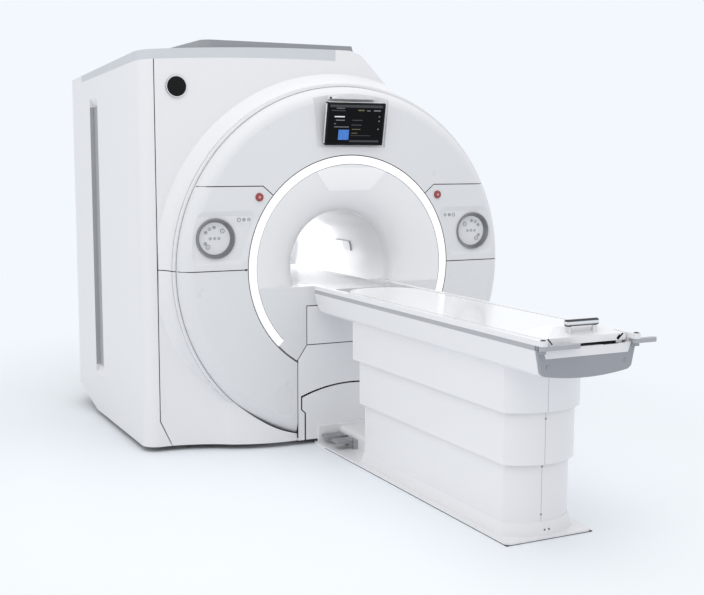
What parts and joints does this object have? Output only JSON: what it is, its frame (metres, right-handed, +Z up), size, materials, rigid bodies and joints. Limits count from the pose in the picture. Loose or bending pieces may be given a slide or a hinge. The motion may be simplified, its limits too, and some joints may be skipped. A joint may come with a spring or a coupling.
{
  "type": "mri scanner",
  "caption": "Hospital magnetic resonance scanner: covered magnet with a flared patient bore, control dials and display, and a lifting patient table with a sliding cradle.",
  "frame": {"origin": "on the floor, straight under the centre of the magnet, on the underside of the base frame's middle cross member", "axes": "+Z up, bore along Y with the patient table towards -Y, +X to the right when facing the bore from the table"},
  "size_m": [2.136, 3.887, 2.207],
  "materials": {
    "white_cover": "satin gloss moulded cover",
    "white_panel": "satin gloss moulded panel",
    "grey_cover": "satin light grey",
    "dark_grey_cover": "satin mid grey",
    "inlay_grey": "matt grey",
    "light_diffuser": "opal diffuser",
    "bore_liner": "smooth satin",
    "satin_metal": "satin turned",
    "keypad_silver": "silver membrane",
    "stop_red": "satin red",
    "badge_black": "gloss black",
    "display_black": "satin black",
    "display_glass": "gloss black cover glass",
    "display_silver": "satin silver",
    "vessel_steel": "brushed",
    "coil_resin": "cast resin",
    "frame_grey": "powder coat",
    "frame_aluminium": "mill finish",
    "table_white": "satin gloss moulding",
    "pedal_grey": "satin grey",
    "belt_black": "matt",
    "strip_grey": "satin anodised",
    "end_grey": "satin grey",
    "handle_grey": "satin grey",
    "cradle_white": "smooth white",
    "grip_chrome": "polished"
  },
  "bodies": {
    "gantry": {"front_cover_upper": "white_cover", "front_cover_lower_left": "white_cover", "front_cover_lower_right": "white_cover", "left_side_cover": "white_cover", "right_side_cover": "white_cover", "rear_cover": "white_cover", "top_cover": "grey_cover", "turret_cover": "dark_grey_cover", "side_inlay": "inlay_grey", "upper_front_panel": "white_panel", "left_control_panel": "white_panel", "right_control_panel": "white_panel", "lower_front_panels": "white_panel", "light_ring": "light_diffuser", "front_flare": "white_panel", "positioning_light_panel": "white_panel", "bridge_cover": "white_panel", "docking_panels": "white_panel", "docking_flap": "white_panel", "bore_tube": "bore_liner", "rear_flare": "white_panel", "bore_bridge": "bore_liner", "bore_wall_unit": "white_panel", "dial_bezels": "satin_metal", "keypads": "keypad_silver", "stop_collars": "white_panel", "round_badge": "badge_black", "display_bracket": "display_silver", "cryostat_vessel": "vessel_steel", "gradient_coil": "coil_resin", "body_coil": "coil_resin", "cold_head": "vessel_steel", "base_frame": "frame_grey", "cover_frame": "frame_aluminium", "table_base": "table_white", "dock_housing": "table_white", "pedal_shaft": "vessel_steel", "lower_column_cover": "table_white", "lift_outer_tubes": "frame_grey", "lift_drive": "frame_grey"},
    "middle_stage": {"middle_column_cover": "table_white", "lift_middle_tubes": "frame_aluminium"},
    "table": {"upper_column_cover": "table_white", "lift_inner_posts": "frame_aluminium", "table_skirt": "table_white", "table_deck": "frame_aluminium", "cradle_drive": "belt_black", "side_strips": "strip_grey", "table_rims": "table_white", "end_panel": "end_grey"},
    "cradle": {"cradle": "cradle_white", "cradle_grip": "grip_chrome"},
    "left_handle": {"left_swing_handle": "handle_grey"},
    "right_handle": {"right_swing_handle": "handle_grey"},
    "near_pedal": {"near_pedal": "pedal_grey"},
    "far_pedal": {"far_pedal": "pedal_grey"},
    "left_stop": {"left_stop_button": "stop_red"},
    "right_stop": {"right_stop_button": "stop_red"},
    "display": {"display_housing": "display_black", "display_glass": "display_glass"}
  },
  "joints": [
    {"name": "table_lift", "type": "slide", "parent": "gantry", "child": "table", "axis": [0, 0, 1], "range_m": [-0.4, 0]},
    {"name": "middle_lift", "type": "slide", "parent": "gantry", "child": "middle_stage", "axis": [0, 0, 1], "range_m": [-0.2, 0]},
    {"name": "cradle_slide", "type": "slide", "parent": "table", "child": "cradle", "axis": [0, 1, 0], "range_m": [0, 1.85]},
    {"name": "left_handle_swing", "type": "hinge", "parent": "table", "child": "left_handle", "pos_m": [-0.228, -2.99, 0.861], "axis": [0, 0, 1], "range_deg": [-180, 0]},
    {"name": "right_handle_swing", "type": "hinge", "parent": "table", "child": "right_handle", "pos_m": [0.228, -2.99, 0.861], "axis": [0, 0, 1], "range_deg": [-180, 0]},
    {"name": "near_pedal_press", "type": "hinge", "parent": "gantry", "child": "near_pedal", "pos_m": [-0.1, -0.952, 0.052], "axis": [0, 1, 0], "range_deg": [-8, 0], "stiffness_Nm_per_rad": 4, "springref_deg": 8.59},
    {"name": "far_pedal_press", "type": "hinge", "parent": "gantry", "child": "far_pedal", "pos_m": [-0.1, -1.078, 0.052], "axis": [0, 1, 0], "range_deg": [-8, 0], "stiffness_Nm_per_rad": 4, "springref_deg": 8.59},
    {"name": "left_stop_press", "type": "slide", "parent": "gantry", "child": "left_stop", "axis": [0, 1, 0], "range_m": [0, 0.006], "stiffness_N_per_m": 800, "springref_m": -0.002},
    {"name": "right_stop_press", "type": "slide", "parent": "gantry", "child": "right_stop", "axis": [0, 1, 0], "range_m": [0, 0.006], "stiffness_N_per_m": 800, "springref_m": -0.002},
    {"name": "display_tilt", "type": "hinge", "parent": "gantry", "child": "display", "pos_m": [0, -0.89551, 1.78011], "axis": [1, 0, 0], "range_deg": [-11, 3]}
  ],
  "couplings": [
    {"joint": "middle_lift", "follows": "table_lift", "ratio": 0.5}
  ]
}
